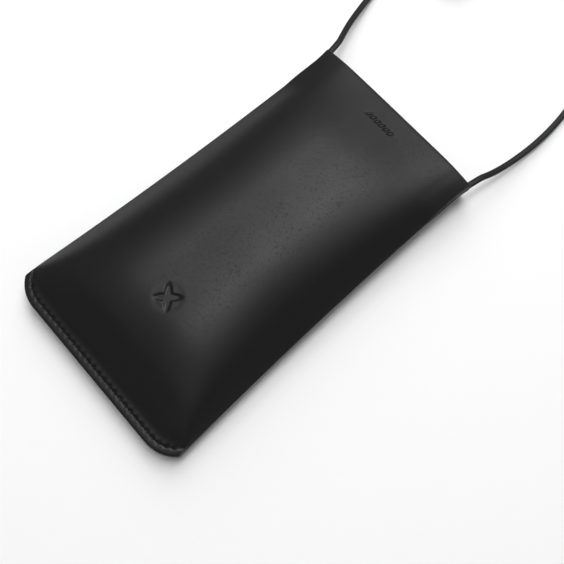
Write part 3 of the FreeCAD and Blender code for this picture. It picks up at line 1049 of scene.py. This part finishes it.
def threadMaterial():
    # waxed black thread: plies twisted round each other
    material, tree, shader = newMaterial("waxedThread", 0.55, 0.15)
    place = addNode(tree, "ShaderNodeTexCoord").outputs["Object"]
    turned = addNode(tree, "ShaderNodeMapping", values={"Rotation": (0.0, 0.0, 0.9)}, links={"Vector": place})
    plies = addNode(
        tree, "ShaderNodeTexWave", values={"Scale": 620.0, "Distortion": 0.6, "Detail": 1.0},
        links={"Vector": turned.outputs[0]},
    )
    fuzz = addNoise(tree, place, 3000.0, 2.0)
    colour = blendColours(tree, plies.outputs["Fac"], (0.0022, 0.0022, 0.0024), (0.005, 0.005, 0.0055))
    tree.links.new(colour, shader.inputs["Base Color"])
    tree.links.new(addRamp(tree, fuzz.outputs["Fac"], [(0.3, 0.42), (0.7, 0.62)]), shader.inputs["Roughness"])
    bump = addNode(
        tree, "ShaderNodeBump", values={"Strength": 0.5, "Distance": 0.0002},
        links={"Height": plies.outputs["Fac"]},
    )
    tree.links.new(bump.outputs[0], shader.inputs["Normal"])
    return material


grainSide = leatherMaterial("smoothLeather", smoothBlack)
fleshSide = leatherMaterial("fleshSide", fleshBlack)
cutEdge = leatherMaterial("burnishedEdge", edgeBlack)
laceLeather = leatherMaterial("laceLeather", laceBlack)
tieLeather = leatherMaterial("tieLeather", tieBlack)
waxedThread = threadMaterial()
for panel in (frontPanel, backPanel):
    for index, material in enumerate((grainSide, fleshSide, cutEdge)):
        panel.data.materials[index] = material
strapLace.data.materials.append(laceLeather)
strapTie.data.materials.append(tieLeather)
for row in (bottomStitches, leftStitches, rightStitches):
    row.data.materials.clear()
    row.data.materials.append(waxedThread)
print("materials made")

# floor and light
studio = {
    "floor": 0.9,
    "floorRoughness": 0.6,
    "skyStrength": 5.4,
    "skyLow": 0.050,                     # the sky round the overhead panel
    "panelCentre": (-0.16, 0.27, 0.0),   # direction to its middle, seen from above
    "panelHalf": (0.23, 0.40),           # how wide it looks along X and Y
    "panelEdge": (0.7, 1.4),             # where its soft edge starts and ends
    "keyPlace": (-0.66, 0.60, 0.60),
    "keySize": 0.8,
    "keyPower": 7.6,
}


def addStudio():
    clearSelection()
    bpy.ops.mesh.primitive_plane_add(size=6)
    floor = nameIt("floor")
    paper, tree, shader = newMaterial("palePaper", studio["floorRoughness"], 0.2)
    shader.inputs["Base Color"].default_value = (studio["floor"],) * 3 + (1,)
    floor.data.materials.append(paper)
    world = bpy.data.worlds.new("softSky")
    bpy.context.scene.world = world
    world.use_nodes = True
    tree = world.node_tree
    sky = tree.nodes["Background"]
    sky.inputs["Strength"].default_value = studio["skyStrength"]
    direction = addNode(tree, "ShaderNodeTexCoord").outputs["Generated"]
    fromPanel = addNode(
        tree, "ShaderNodeVectorMath", {"operation": "SUBTRACT"}, {1: studio["panelCentre"]}, {0: direction}
    )
    wide, deep = studio["panelHalf"]
    scaled = addNode(
        tree, "ShaderNodeVectorMath", {"operation": "MULTIPLY"}, {1: (1 / wide, 1 / deep, 0.0)},
        {0: fromPanel.outputs[0]},
    )
    away = addNode(tree, "ShaderNodeVectorMath", {"operation": "LENGTH"}, links={0: scaled.outputs[0]})
    start, end = studio["panelEdge"]
    fade = addNode(
        tree, "ShaderNodeMapRange", {"interpolation_type": "SMOOTHSTEP"},
        {"From Min": start, "From Max": end, "To Min": 1.0, "To Max": studio["skyLow"]},
        {"Value": away.outputs["Value"]},
    )
    above = addNode(tree, "ShaderNodeSeparateXYZ", links={0: direction}).outputs[2]
    upper = addMath(tree, "GREATER_THAN", above, 0.0)
    tree.links.new(addMath(tree, "MULTIPLY", fade.outputs[0], upper), sky.inputs["Color"])
    offset = Vector(studio["keyPlace"])
    facing = (-offset).to_track_quat("-Z", "Y").to_euler()
    bpy.ops.object.light_add(type="AREA", location=offset, rotation=facing)
    key = bpy.context.active_object
    key.data.size = studio["keySize"]
    key.data.energy = studio["keyPower"]
    key.visible_glossy = False           # it casts the shadows; only the sky shows in the leather
    bpy.context.scene.view_settings.view_transform = "Standard"


addStudio()
print("studio lit")

# what each piece stands for, with a slot name that nothing reads; each piece rides on the root, and the frame
# nodes it stands for are hidden
pieces = [
    (frontPanel, "front_leather", ["front_panel"]),
    (backPanel, "back_leather", ["back_panel"]),
    (bottomStitches, "seam_thread", ["bottom_seam_thread"]),
    (leftStitches, "seam_thread", ["left_side_thread"]),
    (rightStitches, "seam_thread", ["right_side_thread"]),
    (strapLace, "strap_leather", ["strap_left_run", "strap_right_run", "strap_coil"]),
    (strapTie, "tie", ["strap_tie"]),
]
for piece, slotName, nodes in pieces:
    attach(piece, "root")
    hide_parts(*nodes)
